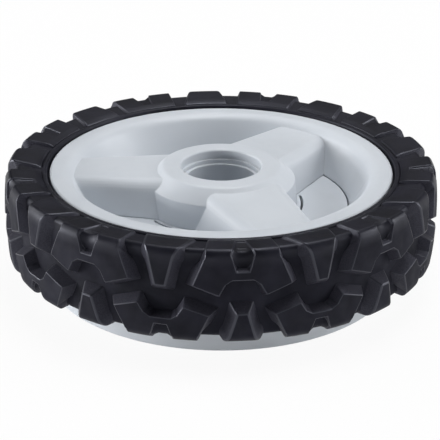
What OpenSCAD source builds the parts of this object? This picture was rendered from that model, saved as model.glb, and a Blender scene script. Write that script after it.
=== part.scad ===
// Mower wheel: a lugged tyre on a moulded hub with three hollow spokes and a back plate.
// The axle line is the Z axis, the outer face looks up and Z = 0 is the rim of the rear ring.
// The spokes point to 60, 180 and 300 degrees.

/* [Tyre] */
// Outside diameter over the lugs
tyre_d = 200; // [170:5:260]
// Width over the lugs
tyre_w = 42.5; // [38:0.5:56]
// How much nearer to the middle of the tread the rear side lies than the front side
side_shift = 3; // [0:0.5:5]
// Tyre height from the edge of the hub's lip to the top of the tread
tyre_wall = 21; // [19:0.5:26]
// Depth of the grooves in the tread
groove_depth = 5.5; // [4:0.5:6.5]
// Slope of the lug sides, in degrees
lug_slope = 28; // [15:1:32]
// Wide lugs in one row, each followed by a narrow lug
lug_pairs = 9; // [8:1:11]
// Turn of the tread on the hub, in degrees
tread_turn = 1.2; // [0:0.2:40]

/* [Hub] */
// Distance from the rear ring's face to the tyre's rear side
rear_stand = 13; // [9:0.5:18]
// Width of the flat lip round the outer face
lip_w = 5.7; // [5:0.1:8]
// Slope of the dished wall inside the lip, from the axle line, in degrees
dish_slope = 30; // [20:1:36]
// Wall thickness of the dish, the spokes and the boss
wall = 3; // [2:0.25:3.5]
// Half width of a spoke's top where it leaves the boss
spoke_half = 17.3; // [13:0.1:19]
// Angle by which each side of a spoke closes in towards the rim
spoke_taper = 5; // [0:0.5:7]
// Slope of a spoke's sides, in degrees
spoke_draft = 21; // [12:1:26]
// Radius of the boss
boss_r = 34.3; // [31:0.1:37]

/* [Bore] */
// Diameter of the two bearing seats
seat_d = 32; // [26:0.5:35]
// Depth of each bearing seat
seat_h = 10; // [6:0.5:12]
// Diameter of the bore between the bearing seats
bore_d = 27; // [18:0.5:30]
// Width of the ledge between the front seat and the step above it
step_ledge = 1.5; // [0.5:0.1:3]
// Width of the ledge between the step and the wall of the recess in the boss's face
cap_ledge = 1.1; // [0.7:0.1:2.5]

/* [Back plate] */
// Thickness of the plate
plate_t = 2.5; // [1.5:0.25:3]
// Gap between the plate's edge and the dish
plate_gap = 0.8; // [0.5:0.1:2]
// Clearance between the plate and the boss
plate_play = 0.2; // [0.1:0.05:0.4]

/* [Hidden] */
$fn = 120;

rubber = "#1d1d20";
light_grey = "#ccd1d8";
mid_grey = "#c3c8d0";

tread_r = tyre_d / 2;
pitch = 360 / lug_pairs;
tread_fn = 96;
over = 0.5;

// Tyre section, with heights from the middle plane of the tread
shoulder_r = 3;
side_z = (tyre_w + side_shift) / 2;
rear_side_z = side_z - side_shift;
rear_share = rear_side_z / side_z;
mid_z = rear_stand + rear_side_z;
groove_r = tread_r - groove_depth;
groove_round = 2.3;
groove_sink = 1.4;
lip_sink = 3;
lip_t = 3;
lip_r = tread_r - tyre_wall;
bead_gap = 0.5;
bead_z = side_z - lip_sink - lip_t;
ring_rise = 2.5;
ring_r = lip_r + 5.5;
ring_sink = 1.8;
row_over = 2;
row_foot = 4;
row_bend = [ring_r + 2, side_z - 1];
row_under = 0.1;
barrel_r = lip_r - 3.5;
seat_r = barrel_r / cos(180 / tread_fn);
rear_r = lip_r + 2.3;

// Lug outlines on the tread: half widths as shares of the pitch, and heights
pitch_w = 2 * PI * tread_r / lug_pairs;
a_foot = [0.148 * pitch_w, 3.2];
a_wide = [0.301 * pitch_w, 7.3];
a_top = [0.226 * pitch_w, side_z - 2.5];
a_end = 0.222 * pitch_w;
notch_mouth = [0.189 * pitch_w, -4.4];
notch_low = [0.146 * pitch_w, 2.6];
notch_high = [0.105 * pitch_w, 8];
notch_tip = [0.066 * pitch_w, 9.9];
notch_depth = groove_depth + 0.8;
recess_slope = 15;
b_foot = [0.034 * pitch_w, 6.1];
b_top = [0.086 * pitch_w, side_z - 3];
b_end = 0.185 * pitch_w;
slot_low = [0.040 * pitch_w, 13.6];
slot_wide = [0.074 * pitch_w, side_z - 1];
slot_end = 0.037 * pitch_w;
slot_floor = [3, 2.2, 1.2, 0.6];
lug_over = 3;
lug_root = groove_depth + 2;
lug_in = tread_r - ring_r + 0.5;
slot_in = lug_in - 2.5;

// Hub section, with heights from the rear face
lip_z = mid_z + bead_z + lip_t;
lip_edge = 1;
lip_inner = 6.4;
lip_seat = mid_z + bead_z;
rear_seat = mid_z - rear_share * bead_z;
rear_t = 3.7;
rear_edge = 1.2;
barrel_t = 3;
lip_centre = [lip_r - lip_w, lip_z - lip_inner];
dish_n = [-cos(dish_slope), sin(dish_slope)];
dish_top = lip_centre + lip_inner * dish_n;
plate_z = mid_z + 2.4;
plate_back = plate_z - plate_t;
skirt_z = plate_back - 1.7;
gusset_z = lip_z - 4;

// Boss
boss_z = mid_z + 20.8;
boss_edge = 2.5;
boss_slope = 42;
boss_foot = 1.2;
cone_z = mid_z + 14.3;
cone_n = [sin(boss_slope), cos(boss_slope)];
cone_reach = (boss_edge - (cone_z - boss_z + boss_edge) * cone_n[1]) / cone_n[0];
boss_centre = [boss_r - cone_reach, boss_z - boss_edge];
boss_roof = 3.5;
tube_r = seat_d / 2 + 4.5;
tube_z = 5;
cap_z = boss_z - 4.4;
step_d = seat_d + 2 * step_ledge;
cap_d = step_d + 2 * cap_ledge;
step_z = cap_z - 1.9;
snap_h = 0.5;
snap_z = [skirt_z + 0.8, plate_back - 0.1];

// Spokes
spoke_z = mid_z + 18.5;
spoke_round = 7.3;
spoke_fall = 3;
spoke_h = spoke_z - plate_z;
spoke_lift = 0.1;
spoke_depth = spoke_h + 12;
spoke_reach = 2.5 * lip_r;
spoke_back = 3 * spoke_half;
inner_round = 1;
pocket_z = boss_z - 1;
rib_t = 2;
rib_low = 2;
gusset_low = 1;
boss_ribs = 6;
rim_ribs = 12;
slit_w = 1.2;
slit_r = boss_r + 2.9;
slit_half = 17;

// Radius of the dish's face at height z
function dish_r(z) = dish_top[0] - (dish_top[1] - z) * tan(dish_slope);

// Right hand normal of the line from p to q
function side_of(p, q) = let (d = q - p) [d[1], -d[0]] / norm(d);

// Corner p between a and b moved out by d
function corner(p, a, b, d) =
    let (m = side_of(a, p), n = side_of(p, b)) p + d * (m + n) / (1 + m * n);

function flip(p) = [-p[0], p[1]];

// Right half of an outline, each corner moved out by its own distance
function grown(half, d) =
    let (last = len(half) - 1)
    [for (i = [0:last])
        corner(half[i], i == 0 ? flip(half[0]) : half[i - 1],
               i == last ? flip(half[last]) : half[i + 1], d[i])];

// Outline q at depth d, with the rows of outline p from the shoulder on. A row before it
// stays short of the shoulder's mitre line, on the line from the row before.
function on_rows(p, q, d) =
    [for (i = [0:len(p) - 1])
        let (limit = side_z - over - d[i])
        p[i][1] >= side_z ? [q[i][0], p[i][1]] :
        q[i][1] <= limit ? q[i] :
        q[i - 1] + (q[i] - q[i - 1]) * (limit - q[i - 1][1]) / (q[i][1] - q[i - 1][1])];

// Radius and height of a point at length s along the tread and down its side, h over the surface
function skin(s, h) =
    s < side_z ? [tread_r + h, s] :
    s == side_z ? [tread_r + h, side_z + h] :
    [tread_r + side_z - s, side_z + h];

// The same point in space, u along the tread from the lug's middle
function spot(u, s, h) =
    let (p = skin(s, h), a = u / tread_r * 180 / PI) [p[0] * cos(a), p[0] * sin(a), p[1]];

// Outline led over the shoulder to its inner end
function over_shoulder(half, end_w, reach) =
    let (from = half[len(half) - 1][0])
    concat(half, [[from + (end_w - from) * shoulder_r / reach, side_z], [end_w, side_z + reach]]);

// Points of an arc round a centre, from angle a0 to a1
function arc(centre, r, a0, a1, n = 6) =
    [for (i = [0:n]) let (a = a0 + (a1 - a0) * i / n) centre + r * [cos(a), sin(a)]];

// Solid between an outline high over the tread and the same outline deep in it.
// Its sides lean out with depth for a positive slope, and in for a negative one.
module block(half, high, deep, slope) {
    n = len(half);
    up = [for (p = half) -high];
    top = on_rows(half, grown(half, up * tan(slope)), up);
    root = on_rows(half, grown(half, deep * tan(slope)), deep);
    points = [for (i = [0:n - 1]) each [
        spot(top[i][0], top[i][1], high), spot(-top[i][0], top[i][1], high),
        spot(-root[i][0], root[i][1], -deep[i]), spot(root[i][0], root[i][1], -deep[i])]];
    sides = [for (i = [0:n - 2]) for (j = [0:3])
        let (a = 4 * i + j, b = 4 * i + (j + 1) % 4) each [[a, b, b + 4], [a, b + 4, a + 4]]];
    e = 4 * (n - 1);
    polyhedron(points, concat([[0, 2, 1], [0, 3, 2]], sides, [[e, e + 1, e + 2], [e, e + 2, e + 3]]));
}

// Section of the front row of lugs, before the grooves are taken out
module lug_section() {
    foot = [ring_r - row_foot, side_z - ring_sink - row_foot];
    polygon(concat([[foot[0], -row_over], [tread_r, -row_over]],
                   arc([tread_r - shoulder_r, side_z - shoulder_r], shoulder_r, 0, 90, 3),
                   [row_bend, [ring_r, side_z - ring_sink - row_under], foot]));
}

module wide_lug() {
    half = over_shoulder([a_foot, a_wide, a_top], a_end, lug_in);
    notch = [notch_mouth, notch_low, notch_high, notch_tip];
    slot = over_shoulder([slot_low, slot_wide], slot_end, slot_in);
    difference() {
        block(half, lug_over, [for (p = half) lug_root], lug_slope);
        hull() block(notch, lug_over + 1, [for (p = notch) notch_depth], -recess_slope);
        block(slot, lug_over + 1, slot_floor, -recess_slope);
    }
}

module narrow_lug() {
    half = over_shoulder([b_foot, b_top], b_end, lug_in);
    block(half, lug_over, [for (p = half) lug_root], lug_slope);
}

// Wide and narrow lugs in turn round the front side of the tread, cut to the tyre's outline
module lug_row() {
    intersection() {
        rotate_extrude($fn = tread_fn) lug_section();
        for (k = [0:lug_pairs - 1]) rotate(k * pitch) {
            wide_lug();
            rotate(pitch / 2) narrow_lug();
        }
    }
}

// Front half of the tyre's outline between the lugs, from the groove floor to its seat on
// the barrel, round a hub whose edge has radius edge_r
function casing(edge_r) =
    concat(arc([groove_r - groove_round, side_z - groove_sink - groove_round], groove_round, 0, 90, 3),
           [[ring_r, side_z - ring_sink], [edge_r + bead_gap, bead_z + ring_rise],
            [edge_r + bead_gap, bead_z], [seat_r, bead_z]]);

// Whole outline. Its rear half is the front one, with every height a share smaller.
module tyre_section() {
    rear = casing(rear_r);
    polygon(concat(casing(lip_r),
                   [for (i = [len(rear) - 1:-1:0]) [rear[i][0], -rear_share * rear[i][1]]]));
}

module tyre() {
    color(rubber) translate([0, 0, mid_z]) {
        rotate_extrude($fn = tread_fn) tyre_section();
        rotate(tread_turn) lug_row();
        rotate(tread_turn + pitch / 2) scale([1, 1, -rear_share]) lug_row();
    }
}

// Lip, dished wall, barrel and rear ring in one section
module rim_section() {
    back = wall / cos(dish_slope);
    polygon(concat(
        [[rear_r - rear_t, 0]], arc([rear_r - rear_edge, rear_edge], rear_edge, -90, 0, 4),
        [[rear_r, rear_seat], [barrel_r, rear_seat], [barrel_r, lip_seat], [lip_r, lip_seat]],
        arc([lip_r - lip_edge, lip_z - lip_edge], lip_edge, 0, 90, 4),
        arc(lip_centre, lip_inner, 90, 180 - dish_slope, 8),
        [[dish_r(plate_z), plate_z], [dish_r(plate_z), skirt_z],
         [dish_r(plate_z) + wall, skirt_z], [dish_r(plate_z) + back, plate_z],
         [dish_r(gusset_z) + back, gusset_z], [barrel_r - barrel_t, gusset_z],
         [barrel_r - barrel_t, rear_seat - barrel_t], [rear_r - rear_t, rear_seat - barrel_t]]));
}

// Boss, its skirt round the plate, and the tube with the stepped bore
module boss_section() {
    inner_r = boss_r - wall;
    roof_z = boss_z - boss_roof;
    roof_r = inner_r - (roof_z - cone_z + 1) / tan(boss_slope);
    chamfer = 0.5;
    polygon(concat(
        [[bore_d / 2, tube_z + seat_h], [seat_d / 2, tube_z + seat_h], [seat_d / 2, tube_z],
         [tube_r, tube_z], [tube_r, roof_z], [roof_r, roof_z], [inner_r, cone_z - 1],
         [inner_r, skirt_z], [boss_r, skirt_z], [boss_r + snap_h, snap_z[0]],
         [boss_r + snap_h, snap_z[1]], [boss_r, snap_z[1]], [boss_r, plate_z],
         [boss_r + boss_foot, plate_z], [boss_r, cone_z]],
        arc(boss_centre, boss_edge, 90 - boss_slope, 90, 5),
        [[cap_d / 2 + chamfer, boss_z], [cap_d / 2, boss_z - chamfer], [cap_d / 2, cap_z],
         [step_d / 2, cap_z], [step_d / 2, step_z], [seat_d / 2, step_z],
         [seat_d / 2, step_z - seat_h], [bore_d / 2, step_z - seat_h]]));
}

// Long bar whose top right edge is rounded and whose right side leans out downwards
module spoke_side(inset) {
    r = max(spoke_round - inset, inner_round);
    n = [cos(spoke_draft), sin(spoke_draft)];
    centre = [-r * (1 - n[1]) / n[0], -r];
    translate([boss_r, spoke_half - inset / n[0] * (1 - n[1]), spoke_z - inset])
        rotate([0, spoke_fall, -spoke_taper]) translate([-boss_r, 0, 0])
        rotate([90, 0, 90]) linear_extrude(spoke_reach)
            polygon(concat([[-spoke_back, -spoke_depth],
                            [spoke_depth * tan(spoke_draft), -spoke_depth]],
                           arc(centre, r, spoke_draft, 90), [[-spoke_back, 0]]));
}

// Space between the boss and the dish, reaching a little into the walls of both
module pocket(low, reach) {
    cone_r = boss_r - (pocket_z - cone_z) / tan(boss_slope);
    rotate_extrude()
        polygon([[boss_r - reach, low], [dish_r(low) + reach, low],
                 [dish_r(pocket_z) + reach, pocket_z], [cone_r - reach, pocket_z],
                 [boss_r - reach, cone_z]]);
}

module spoke() {
    difference() {
        intersection() {
            spoke_side(0);
            mirror([0, 1, 0]) spoke_side(0);
            pocket(plate_z + spoke_lift, wall / 2);
        }
        intersection() {
            spoke_side(wall);
            mirror([0, 1, 0]) spoke_side(wall);
            pocket(plate_z - over, over);
        }
    }
}

// Ribs between the tube and the boss, and behind the dish
module ribs() {
    for (k = [0:boss_ribs - 1]) rotate((k + 0.5) * 360 / boss_ribs)
        translate([tube_r - over, -rib_t / 2, plate_z - rib_low])
            cube([boss_r - wall - tube_r + 2 * over, rib_t, cone_z - plate_z]);
    top = gusset_z + over;
    mid = wall / 2;
    for (k = [0:rim_ribs - 1]) rotate((k + 0.5) * 360 / rim_ribs)
        rotate([90, 0, 0]) translate([0, 0, -rib_t / 2]) linear_extrude(rib_t)
            polygon([[dish_r(plate_z) + mid, skirt_z + gusset_low], [dish_r(plate_z) + mid, plate_z],
                     [dish_r(top) + mid, top], [barrel_r - mid, top],
                     [barrel_r - mid, skirt_z + gusset_low]]);
}

module hub() {
    color(light_grey) {
        rotate_extrude() rim_section();
        rotate_extrude() boss_section();
        for (a = [60, 180, 300]) rotate(a) spoke();
        ribs();
    }
}

// Disc behind the spokes, with three slits beside the boss that let it snap on
module back_plate() {
    color(mid_grey) difference() {
        translate([0, 0, plate_back]) cylinder(h = plate_t, r = dish_r(plate_z) - plate_gap);
        translate([0, 0, plate_back - over])
            cylinder(h = plate_t + 2 * over, r = boss_r + plate_play);
        for (a = [0, 120, 240]) rotate(a - slit_half)
            translate([0, 0, plate_back - over]) rotate_extrude(angle = 2 * slit_half)
                translate([slit_r, 0]) square([slit_w, plate_t + 2 * over]);
    }
}

tyre();
hub();
back_plate();
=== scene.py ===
import math

import bmesh
import bpy
from mathutils import Matrix, Vector


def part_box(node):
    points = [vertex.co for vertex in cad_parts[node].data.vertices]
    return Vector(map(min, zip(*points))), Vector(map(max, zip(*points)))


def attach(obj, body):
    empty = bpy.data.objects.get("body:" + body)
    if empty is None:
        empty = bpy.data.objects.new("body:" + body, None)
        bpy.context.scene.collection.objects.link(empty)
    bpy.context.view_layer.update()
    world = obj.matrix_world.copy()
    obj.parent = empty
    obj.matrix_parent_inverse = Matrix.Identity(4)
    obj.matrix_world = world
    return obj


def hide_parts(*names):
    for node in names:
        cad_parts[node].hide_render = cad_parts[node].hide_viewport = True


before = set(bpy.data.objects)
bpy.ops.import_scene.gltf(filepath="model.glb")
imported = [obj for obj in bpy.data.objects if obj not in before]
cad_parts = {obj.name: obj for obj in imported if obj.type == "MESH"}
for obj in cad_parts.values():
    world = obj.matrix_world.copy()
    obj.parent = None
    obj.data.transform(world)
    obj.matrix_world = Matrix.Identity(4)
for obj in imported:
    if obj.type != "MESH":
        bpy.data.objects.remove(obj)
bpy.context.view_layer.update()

# Tyre in millimetres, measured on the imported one: radius, distance of the front side from the
# middle plane, and height of that plane. The rear side lies nearer to it, by SIDE_SHIFT.
MM = 0.001
tyre_low, tyre_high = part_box("tyre")
TREAD_R = tyre_high[0] / MM
SIDE_SHIFT = 3.0
SIDE = ((tyre_high[2] - tyre_low[2]) / MM + SIDE_SHIFT) / 2
REAR_SHARE = (SIDE - SIDE_SHIFT) / SIDE
MID = tyre_high[2] / MM - SIDE

# Tread: the pattern of the part's source, with a softer shoulder, a slight crown, narrow lugs whose
# sides lean more, and mostly shallower slots
LUG_PAIRS = 9
TREAD_TURN = math.radians(1.2)
WIDE_SLOPE = math.radians(28)
NARROW_SLOPE = math.radians(34)
RECESS_SLOPE = math.radians(15)
GROOVE = 5.5
SHOULDER = 4.2
CROWN = 1.0

# Outline of the tyre's side: where its lugs end, how it falls towards there, and how much more it
# falls in the last band
RING_R = TREAD_R - 17.0
SIDE_FALL = 0.095
RING_BAND = 2
RING_FALL = 0.355

# Flat lugs: depth of the hidden roots, their rounding, and height of the cutters above the tread
ROOT = 7.0
ROOT_ROUND = 2
ABOVE = 1.0

# Length of one pitch along the tread, and where lugs and slots end, laid flat. Then half outlines:
# half width along the tread, and distance from the middle plane.
PITCH_W = 2 * math.pi * TREAD_R / LUG_PAIRS
LUG_END = SIDE + TREAD_R - RING_R + 0.5
SLOT_END = SIDE + 13.5
WIDE = [(0.148 * PITCH_W, 3.2), (0.301 * PITCH_W, 7.3), (0.226 * PITCH_W, SIDE - 2.5),
        (0.222 * PITCH_W, LUG_END)]
NOTCH = [(0.189 * PITCH_W, -4.4), (0.146 * PITCH_W, 2.6), (0.105 * PITCH_W, 8.0),
         (0.066 * PITCH_W, 9.9)]
SLOT = [(0.040 * PITCH_W, 13.6), (0.056 * PITCH_W, 17.4), (0.074 * PITCH_W, SIDE - 1),
        (0.037 * PITCH_W, SLOT_END)]
NARROW = [(0.034 * PITCH_W, 6.1), (0.081 * PITCH_W, SIDE - 3), (0.180 * PITCH_W, LUG_END)]

# Depth of the notch, and depth of the slot at each of its points
NOTCH_DEPTH = GROOVE + 0.8
SLOT_DEPTHS = [2.8, 1.2, 0.8, 0.7]

# Rounding of the lugs' edges, and the angles from which edges are kept, rounded and shaded sharp
EDGE_R = 0.7
EDGE_STEPS = 3
FLAT_ANGLE = math.radians(1)
EDGE_ANGLE = math.radians(25)
TYRE_SHARP = math.radians(35)
CAD_SHARP = math.radians(30)

# Cuts that let a flat lug bend: places along the tread, then across it up to and past the shoulder
CUTS_ALONG = range(-26, 27, 2)
CUTS_TREAD = (4, 8, 12, 15)
CUTS_SHOULDER = 14
CUTS_SIDE = (6, 8, 10, 12, 14, 15.5)
CUT_MERGE = 1e-4

# Casing between the lugs: groove floor, bead beside the lip, gap there as distance from the lip's
# edge and depth below the side, and seat on the hub
GROOVE_ROUND = 2.3
GROOVE_SINK = 1.4
BEAD_R = 1.2
BEAD_SINK = 3.2
BEAD_FROM_RING = 0.4
BEAD_FROM_LIP = 1.1
BEAD_FOOT = 0.3
BEAD_ARC = (10, 175)
LIP_GAP = [(0.7, 4.6), (0.5, 6)]
LIP_R = TREAD_R - 20.9
REAR_STEP = 2.3
SEAT_R = TREAD_R - 24.4
SEAT_SINK = 6
ARC_STEPS = 8
CASING_STEPS = 270

# Material slots of the tyre, lug sides lighter with painted light from above and rounded edges
# lighter with a painted highlight, and how far the normal of a lug's side rises
PAINTED_LIGHT_SIDE_SLOT = 1
HIGHLIGHT_EDGE_SLOT = 2
SIDE_RISE = (0.2, 0.7)

# Finishes: distances inside the front side between which the tread's matte face fades out, a blue
# tint on the rubber's gloss that paints in the light's bluish cast, and least and most roughness of
# the plastic
MATTE_FADE = (7, 1)
BLUE_GLOSS_PAINTED = (0.82, 0.85, 1, 1)
SATIN = (0.36, 0.46)


def side_of(p, q):
    """Right hand normal of the line from p to q."""
    d = q - p
    return Vector((d.y, -d.x)).normalized()


def flipped(p):
    """Point mirrored to the other half of an outline."""
    return Vector((-p.x, p.y))


def grown(half, distances):
    """Right half of an outline, each corner moved out by its own distance."""
    points = [Vector(p) for p in half]
    before = [flipped(points[0])] + points[:-1]
    after = points[1:] + [flipped(points[-1])]
    moved = []
    for p, a, b, d in zip(points, before, after, distances):
        m, n = side_of(a, p), side_of(p, b)
        q = p + d * (m + n) / (1 + m.dot(n))
        moved.append(Vector((q.x, p.y)) if p.y >= SIDE else q)
    return moved


def prism(half, high, depths, slope):
    """Closed flat block between an outline high up and the same outline at its depths."""
    lean = math.tan(slope)
    top = grown(half, [-high * lean] * len(half))
    root = grown(half, [d * lean for d in depths])
    rows = list(zip(top, root, depths))
    ring = [(1, row) for row in rows] + [(-1, row) for row in reversed(rows)]
    bm = bmesh.new()
    upper = [bm.verts.new((sign * t.x, t.y, high)) for sign, (t, r, d) in ring]
    lower = [bm.verts.new((sign * r.x, r.y, -d)) for sign, (t, r, d) in ring]
    bm.faces.new(upper)
    bm.faces.new(list(reversed(lower)))
    count = len(ring)
    for i in range(count):
        j = (i + 1) % count
        bm.faces.new((upper[i], lower[i], lower[j], upper[j]))
    bmesh.ops.recalc_face_normals(bm, faces=bm.faces)
    mesh = bpy.data.meshes.new("prism")
    bm.to_mesh(mesh)
    bm.free()
    return mesh


def temporary(mesh):
    """Object that holds a mesh while modifiers are worked out."""
    obj = bpy.data.objects.new("temporary", mesh)
    bpy.context.scene.collection.objects.link(obj)
    return obj


def evaluated(obj):
    """Mesh of an object with its modifiers applied."""
    bpy.context.view_layer.update()
    depsgraph = bpy.context.evaluated_depsgraph_get()
    return bpy.data.meshes.new_from_object(obj.evaluated_get(depsgraph))


def flat_lug(outline, slope, cuts, materials):
    """Lug in flat space, with its recesses cut out and its edges rounded in the last material, a
    painted highlight.
    """
    body = temporary(prism(outline, 0.0, [ROOT] * len(outline), slope))
    cutters = [temporary(prism(half, ABOVE, depths, -RECESS_SLOPE)) for half, depths in cuts]
    for cutter in cutters:
        cut = body.modifiers.new("cut", "BOOLEAN")
        cut.operation = "DIFFERENCE"
        cut.solver = "EXACT"
        cut.object = cutter
    bm = bmesh.new()
    bm.from_mesh(evaluated(body))
    bmesh.ops.dissolve_limit(bm, angle_limit=FLAT_ANGLE, verts=bm.verts, edges=bm.edges)
    mesh = bpy.data.meshes.new("cut_lug")
    bm.to_mesh(mesh)
    bm.free()
    for obj in [body] + cutters:
        bpy.data.objects.remove(obj)
    for material in materials:
        mesh.materials.append(material)
    rounded = temporary(mesh)
    bevel = rounded.modifiers.new("edges", "BEVEL")
    bevel.material = HIGHLIGHT_EDGE_SLOT
    bevel.width = EDGE_R
    bevel.segments = EDGE_STEPS
    bevel.limit_method = "ANGLE"
    bevel.angle_limit = EDGE_ANGLE
    result = evaluated(rounded)
    bpy.data.objects.remove(rounded)
    return result


def outer_point(s):
    """Radius and height of the tyre's outline at distance s from the middle plane."""
    start, end = SIDE - SHOULDER, SIDE + SHOULDER
    if s < end:
        turn = max(0.0, (s - start) / (end - start)) * math.pi / 2
        z = min(s, start) + SHOULDER * math.sin(turn)
        crown = CROWN * (max(z, 0) / start) ** 2
        return Vector((TREAD_R - SHOULDER + (SHOULDER - crown) * math.cos(turn), z))
    r = TREAD_R + SIDE - s
    fall = max(0.0, TREAD_R - SHOULDER - r) * SIDE_FALL
    return Vector((r, SIDE - fall - max(0.0, RING_R + RING_BAND - r) * RING_FALL))


def inner_point(s):
    """Radius and height at the roots of the lugs, on a smaller shoulder."""
    start, end = SIDE - ROOT - ROOT_ROUND, SIDE + ROOT + ROOT_ROUND
    if s <= start:
        return Vector((TREAD_R - ROOT, s))
    low = outer_point(end).y - ROOT
    if s < end:
        turn = (s - start) / (end - start) * math.pi / 2
        return Vector((TREAD_R - ROOT - ROOT_ROUND + ROOT_ROUND * math.cos(turn),
                       start + (low - start) * math.sin(turn)))
    return Vector((TREAD_R + SIDE - s, outer_point(s).y - ROOT))


def on_tyre(u, s, h):
    """Place on the tyre of a flat point: u along the tread, s across it and h up."""
    share = -h / ROOT
    r, z = outer_point(s) * (1 - share) + inner_point(s) * share
    turn = u / TREAD_R
    return Vector((r * math.cos(turn), r * math.sin(turn), z))


def bent_lug(mesh):
    """Flat lug cut finely enough to bend, laid on the tyre, with its sides in their own slot,
    painted lighter as if lit from above.
    """
    bm = bmesh.new()
    bm.from_mesh(mesh)
    along = [Vector((u, 0, 0)) for u in CUTS_ALONG]
    across = [Vector((0, s, 0)) for s in CUTS_TREAD]
    for i in range(CUTS_SHOULDER + 1):
        s = SIDE - SHOULDER + 2 * SHOULDER * i / CUTS_SHOULDER
        across.append(Vector((0, s, 0)))
    across += [Vector((0, SIDE + d, 0)) for d in CUTS_SIDE]
    for points, normal in ((along, (1, 0, 0)), (across, (0, 1, 0))):
        for point in points:
            geom = bm.verts[:] + bm.edges[:] + bm.faces[:]
            bmesh.ops.bisect_plane(bm, geom=geom, plane_co=point, plane_no=normal, dist=CUT_MERGE)
    bm.normal_update()
    # Walls whose normal rises this far get the side rubber: coarser grain, and a lighter colour
    # that is painted light from above
    least, most = SIDE_RISE
    for face in bm.faces:
        if face.material_index != HIGHLIGHT_EDGE_SLOT and least < face.normal.z < most:
            face.material_index = PAINTED_LIGHT_SIDE_SLOT
        face.smooth = True
    bmesh.ops.triangulate(bm, faces=[f for f in bm.faces if len(f.verts) > 4])
    for vert in bm.verts:
        vert.co = on_tyre(*vert.co)
    bent = bpy.data.meshes.new("bent_lug")
    bm.to_mesh(bent)
    bm.free()
    return bent


def arc(centre, radius, start, end, steps):
    """Points of an arc round a centre, with its angles in degrees."""
    points = []
    for i in range(steps + 1):
        a = math.radians(start + (end - start) * i / steps)
        points.append((centre[0] + radius * math.cos(a), centre[1] + radius * math.sin(a)))
    return points


def half_casing(edge_r):
    """Front half of the casing's outline, round a hub whose edge has radius edge_r."""
    floor_r = TREAD_R - GROOVE
    bead_z = SIDE - BEAD_SINK
    bead_r = max(RING_R - BEAD_FROM_RING - BEAD_R, edge_r + BEAD_FROM_LIP + BEAD_R)
    groove_centre = (floor_r - GROOVE_ROUND, SIDE - GROOVE_SINK - GROOVE_ROUND)
    half = arc(groove_centre, GROOVE_ROUND, 0, 90, ARC_STEPS)
    half += [(bead_r + BEAD_R + BEAD_FOOT, bead_z + BEAD_FOOT)]
    half += arc((bead_r, bead_z), BEAD_R, *BEAD_ARC, ARC_STEPS)
    half += [(edge_r + out, SIDE - down) for out, down in LIP_GAP]
    half += [(SEAT_R, SIDE - SEAT_SINK)]
    return half


def add_casing(bm):
    """Ring between and under the lugs: groove floor, shoulders, side rings and the seat."""
    front, rear = half_casing(LIP_R), half_casing(LIP_R + REAR_STEP)
    profile = front + [(r, -z * REAR_SHARE) for r, z in reversed(rear)]
    rings = []
    for k in range(CASING_STEPS):
        a = 2 * math.pi * k / CASING_STEPS
        rings.append([bm.verts.new((r * math.cos(a), r * math.sin(a), z)) for r, z in profile])
    count = len(profile)
    for k in range(CASING_STEPS):
        this, following = rings[k], rings[(k + 1) % CASING_STEPS]
        for i in range(count):
            j = (i + 1) % count
            face = bm.faces.new((this[i], this[j], following[j], following[i]))
            face.smooth = True


def add_lug(bm, mesh, turn, front):
    """Copy of a bent lug, turned round the axle and mirrored for the rear row."""
    known_verts = len(bm.verts)
    known_faces = len(bm.faces)
    bm.from_mesh(mesh)
    bm.verts.ensure_lookup_table()
    bm.faces.ensure_lookup_table()
    place = Matrix.Rotation(turn, 4, "Z")
    if not front:
        place = place @ Matrix.Diagonal((1, 1, -REAR_SHARE, 1))
        bmesh.ops.reverse_faces(bm, faces=bm.faces[known_faces:])
    for vert in bm.verts[known_verts:]:
        vert.co = place @ vert.co


def make_tyre(materials):
    """Tyre with two rows of wide and narrow lugs, half a pitch apart."""
    recesses = [(NOTCH, [NOTCH_DEPTH] * len(NOTCH)), (SLOT, SLOT_DEPTHS)]
    wide = bent_lug(flat_lug(WIDE, WIDE_SLOPE, recesses, materials))
    narrow = bent_lug(flat_lug(NARROW, NARROW_SLOPE, [], materials))
    pitch = 2 * math.pi / LUG_PAIRS
    bm = bmesh.new()
    add_casing(bm)
    for k in range(LUG_PAIRS):
        for front in (True, False):
            turn = TREAD_TURN + (k if front else k + 0.5) * pitch
            add_lug(bm, wide, turn, front)
            add_lug(bm, narrow, turn + pitch / 2, front)
    for vert in bm.verts:
        vert.co = (vert.co + Vector((0, 0, MID))) * MM
    mesh = bpy.data.meshes.new("lugged_tyre")
    bm.to_mesh(mesh)
    bm.free()
    mesh.set_sharp_from_angle(angle=TYRE_SHARP)
    for material in materials:
        mesh.materials.append(material)
    obj = bpy.data.objects.new("lugged_tyre", mesh)
    bpy.context.scene.collection.objects.link(obj)
    even = obj.modifiers.new("even_shading", "WEIGHTED_NORMAL")
    even.keep_sharp = True
    return obj


def ranged(tree, source, start, end, low, high):
    """Node that spreads a source between start and end from low to high."""
    node = tree.nodes.new("ShaderNodeMapRange")
    limits = {"From Min": start, "From Max": end, "To Min": low, "To Max": high}
    for name, value in limits.items():
        node.inputs[name].default_value = value
    tree.links.new(source, node.inputs["Value"])
    return node


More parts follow.
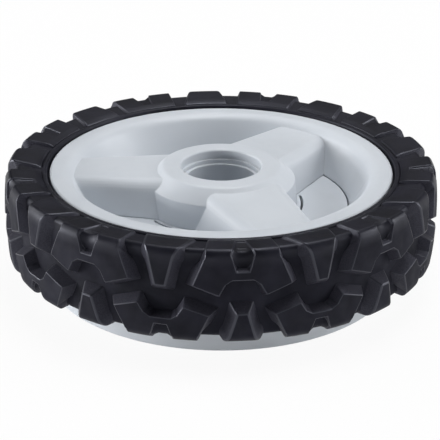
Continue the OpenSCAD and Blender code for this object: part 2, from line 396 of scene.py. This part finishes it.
class Nodes:
    """Short calls that build one material's nodes."""

    def __init__(self, name):
        self.material = bpy.data.materials.new(name)
        self.material.use_nodes = True
        self.tree = self.material.node_tree
        self.shader = self.tree.nodes["Principled BSDF"]
        self.place = self.tree.nodes.new("ShaderNodeTexCoord").outputs["Object"]

    def link(self, source, target):
        """Join an output to an input."""
        self.tree.links.new(source, target)

    def noise(self, scale, detail=3.0, rough=0.5):
        """Noise with a number of waves a metre."""
        node = self.tree.nodes.new("ShaderNodeTexNoise")
        node.inputs["Scale"].default_value = scale
        node.inputs["Detail"].default_value = detail
        node.inputs["Roughness"].default_value = rough
        self.link(self.place, node.inputs["Vector"])
        return node.outputs["Fac"]

    def spread(self, source, low, high, start=0.35, end=0.65):
        """Source between start and end, spread evenly from low to high."""
        return ranged(self.tree, source, start, end, low, high).outputs["Result"]

    def off_middle(self):
        """Distance from the middle plane of the tread, in metres."""
        split = self.tree.nodes.new("ShaderNodeSeparateXYZ")
        self.link(self.place, split.inputs[0])
        moved = self.worked_out("SUBTRACT", split.outputs["Z"])
        moved.inputs[1].default_value = MID * MM
        return self.worked_out("ABSOLUTE", moved.outputs[0]).outputs[0]

    def worked_out(self, operation, first):
        """Node that works on one output."""
        node = self.tree.nodes.new("ShaderNodeMath")
        node.operation = operation
        self.link(first, node.inputs[0])
        return node

    def total(self, first, second):
        """Sum of two outputs."""
        node = self.worked_out("ADD", first)
        self.link(second, node.inputs[1])
        return node.outputs[0]

    def colours(self, source, first, second):
        """Mix of two colours."""
        node = self.tree.nodes.new("ShaderNodeMix")
        node.data_type = "RGBA"
        node.inputs[6].default_value = (*first, 1)
        node.inputs[7].default_value = (*second, 1)
        self.link(source, node.inputs[0])
        return node.outputs[2]

    def rounded(self, radius):
        """Normals that round each edge by a radius in metres."""
        node = self.tree.nodes.new("ShaderNodeBevel")
        node.samples = 8
        node.inputs["Radius"].default_value = radius
        return node.outputs["Normal"]

    def bump(self, height, strength, distance, normal=None):
        """Normals with a relief, on top of other normals where they are given."""
        node = self.tree.nodes.new("ShaderNodeBump")
        node.inputs["Strength"].default_value = strength
        node.inputs["Distance"].default_value = distance
        self.link(height, node.inputs["Height"])
        if normal is not None:
            self.link(normal, node.inputs["Normal"])
        return node.outputs["Normal"]


def rubber(name, dark, light, patches, rough, matte, grain, relief, specular):
    """Moulded rubber with a fine grain, whose tread face is more matte than its shoulders."""
    n = Nodes(name)
    n.shader.inputs["Specular IOR Level"].default_value = specular
    # The gloss takes a painted blue tint that stands for the light's colour
    n.shader.inputs["Specular Tint"].default_value = BLUE_GLOSS_PAINTED
    patchy = n.spread(n.noise(patches), 0, 1)
    n.link(n.colours(patchy, dark, light), n.shader.inputs["Base Color"])
    uneven = n.spread(n.noise(scale=160, detail=4), rough - 0.05, rough + 0.08)
    fade_start, fade_end = [(SIDE - d) * MM for d in MATTE_FADE]
    tread = n.spread(n.off_middle(), matte, 0, fade_start, fade_end)
    n.link(n.total(uneven, tread), n.shader.inputs["Roughness"])
    fine = n.bump(n.noise(grain, detail=2), strength=relief, distance=0.0002)
    waves = n.bump(n.noise(scale=90, detail=1), strength=0.15, distance=0.0004, normal=fine)
    n.link(waves, n.shader.inputs["Normal"])
    return n.material


def plastic(name, colour, shade, edge):
    """Satin moulded plastic with soft edges and a faint flow pattern."""
    n = Nodes(name)
    flow = n.spread(n.noise(scale=35, detail=2), 0, 1)
    n.link(n.colours(flow, colour, shade), n.shader.inputs["Base Color"])
    n.link(n.spread(n.noise(scale=220, detail=3), *SATIN), n.shader.inputs["Roughness"])
    grain = n.noise(scale=2600, detail=2)
    n.link(n.bump(grain, strength=0.06, distance=0.0001, normal=n.rounded(edge)),
           n.shader.inputs["Normal"])
    return n.material


def dress(node, material):
    """CAD node shown with one material, shaded smooth between its real edges."""
    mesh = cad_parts[node].data
    mesh.materials.clear()
    mesh.materials.append(material)
    for polygon in mesh.polygons:
        polygon.use_smooth = True
    mesh.set_sharp_from_angle(angle=CAD_SHARP)


def area_light(name, place, aim, size, power):
    """Soft light that points at the axle line, at a height."""
    data = bpy.data.lights.new(name, "AREA")
    data.shape = "RECTANGLE"
    data.size, data.size_y = size
    data.energy = power
    obj = bpy.data.objects.new(name, data)
    obj.location = place
    obj.rotation_euler = (Vector((0, 0, aim)) - Vector(place)).to_track_quat("-Z", "Y").to_euler()
    bpy.context.scene.collection.objects.link(obj)


def seen_directly(tree):
    """Output that is 1 for camera, glossy and transmission rays."""
    path = tree.nodes.new("ShaderNodeLightPath")
    total = path.outputs["Is Camera Ray"]
    for name in ("Is Glossy Ray", "Is Transmission Ray"):
        larger = tree.nodes.new("ShaderNodeMath")
        larger.operation = "MAXIMUM"
        tree.links.new(total, larger.inputs[0])
        tree.links.new(path.outputs[name], larger.inputs[1])
        total = larger.outputs[0]
    return total


def make_world(low, high, sides):
    """Surroundings that are dark near the horizon, paler overhead and at both sides."""
    world = bpy.data.worlds.new("studio")
    world.use_nodes = True
    tree = world.node_tree
    background = tree.nodes["Background"]
    split = tree.nodes.new("ShaderNodeSeparateXYZ")
    tree.links.new(tree.nodes.new("ShaderNodeTexCoord").outputs["Generated"], split.inputs[0])
    across = tree.nodes.new("ShaderNodeMath")
    across.operation = "ABSOLUTE"
    tree.links.new(split.outputs["X"], across.inputs[0])
    total = tree.nodes.new("ShaderNodeMath")
    overhead = ranged(tree, split.outputs["Z"], 0.2, 0.9, low, high)
    beside = ranged(tree, across.outputs[0], 0.6, 0.95, 0, sides)
    for number, part in enumerate((overhead, beside)):
        part.interpolation_type = "SMOOTHSTEP"
        tree.links.new(part.outputs["Result"], total.inputs[number])
    background.inputs["Color"].default_value = (0.96, 0.98, 1, 1)
    tree.links.new(total.outputs[0], background.inputs["Strength"])
    bpy.context.scene.world = world


def make_floor(radius, glow):
    """Pale floor that looks white and keeps a soft shadow."""
    mesh = bpy.data.meshes.new("floor")
    bm = bmesh.new()
    bmesh.ops.create_circle(bm, cap_ends=True, radius=radius, segments=64)
    bm.to_mesh(mesh)
    bm.free()
    material = bpy.data.materials.new("floor")
    material.use_nodes = True
    tree = material.node_tree
    shader = tree.nodes["Principled BSDF"]
    shader.inputs["Base Color"].default_value = (0.86, 0.86, 0.86, 1)
    shader.inputs["Roughness"].default_value = 0.9
    shader.inputs["Specular IOR Level"].default_value = 0.1
    white = tree.nodes.new("ShaderNodeEmission")
    share = tree.nodes.new("ShaderNodeMath")
    share.operation = "MULTIPLY"
    share.inputs[1].default_value = glow
    mix = tree.nodes.new("ShaderNodeMixShader")
    tree.links.new(seen_directly(tree), share.inputs[0])
    tree.links.new(share.outputs[0], mix.inputs[0])
    tree.links.new(shader.outputs[0], mix.inputs[1])
    tree.links.new(white.outputs[0], mix.inputs[2])
    tree.links.new(mix.outputs[0], tree.nodes["Material Output"].inputs["Surface"])
    mesh.materials.append(material)
    obj = bpy.data.objects.new("floor", mesh)
    obj.location.z = -0.0002
    bpy.context.scene.collection.objects.link(obj)


def make_camera():
    """Camera at the photograph's viewing angle, fitted to the circles of the wheel."""
    azimuth, elevation, roll = math.radians(-84.16), math.radians(23.57), math.radians(0.27)
    distance, lens, sensor = 0.7663, 134.3, 36
    image, centre = 440, (220.9, 206.0)
    target = Vector((0, 0, MID * MM))
    away = Vector((math.cos(elevation) * math.cos(azimuth),
                   math.cos(elevation) * math.sin(azimuth), math.sin(elevation)))
    data = bpy.data.cameras.new("camera")
    data.sensor_width = sensor
    data.lens = lens
    data.shift_x = (image / 2 - centre[0]) / image
    data.shift_y = (centre[1] - image / 2) / image
    camera = bpy.data.objects.new("camera", data)
    camera.rotation_mode = "QUATERNION"
    look = (-away).to_track_quat("-Z", "Y")
    camera.rotation_quaternion = look @ Matrix.Rotation(roll, 3, "Z").to_quaternion()
    camera.location = target + away * distance
    bpy.context.scene.collection.objects.link(camera)
    bpy.context.scene.camera = camera


top_rubber = rubber("rubber", (0.004, 0.0039, 0.0068), (0.0095, 0.0093, 0.0155), patches=60,
                    rough=0.36, matte=0.45, grain=1500, relief=0.10, specular=0.30)
# Lug sides: coarser grain and more roughness, and a base colour several times lighter than the
# tread's, which is painted light from above
painted_lit_side_rubber = rubber("rubber_sides_painted_light", (0.022, 0.0217, 0.0305), (0.038, 0.0375, 0.05), patches=2200,
                     rough=0.48, matte=0.1, grain=2400, relief=0.35, specular=0.25)
# Rounded lug edges: a lighter, glossier rubber, a painted highlight along every edge
highlight_edge_rubber = rubber("rubber_edges_painted_highlight", (0.006, 0.0059, 0.0098), (0.013, 0.0128, 0.0195), patches=200,
                     rough=0.36, matte=0.1, grain=1100, relief=0.2, specular=0.65)
hub_plastic = plastic("hub_plastic", (0.60, 0.635, 0.68), (0.57, 0.605, 0.65), edge=0.0009)
plate_plastic = plastic("plate_plastic", (0.56, 0.595, 0.64), (0.53, 0.565, 0.61), edge=0.0004)

tyre = make_tyre([top_rubber, painted_lit_side_rubber, highlight_edge_rubber])
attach(tyre, "root")
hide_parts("tyre")
dress("hub", hub_plastic)
dress("back_plate", plate_plastic)

# Lamps: name, place, height they point at, size and power
LAMPS = [
    ("top_light", (0.15, 0.15, 1.4), 0.03, (0.7, 0.6), 10.5),
    ("top_back_light", (0, 0.8, 1.3), 0.03, (1.4, 0.8), 3.6),
    ("back_light", (0, 1.35, 0.85), 0.03, (1.6, 0.6), 0.7),
    ("left_light", (-1.3, 0.3, 0.65), 0.03, (0.8, 0.6), 5.8),
    ("right_light", (1.3, 0.3, 0.65), 0.03, (0.8, 0.6), 9),
    ("low_left_light", (-1.25, -0.2, 0.18), 0.03, (0.8, 0.3), 14),
    ("low_right_light", (1.25, -0.2, 0.18), 0.03, (0.8, 0.3), 4),
    ("low_front_light", (0, -1.3, 0.1), 0.02, (1.4, 0.15), 2.6),
]

make_world(low=0.03, high=0.06, sides=0.03)
for lamp in LAMPS:
    area_light(*lamp)
make_floor(radius=4.0, glow=0.93)
make_camera()
bpy.context.scene.view_settings.view_transform = "Standard"
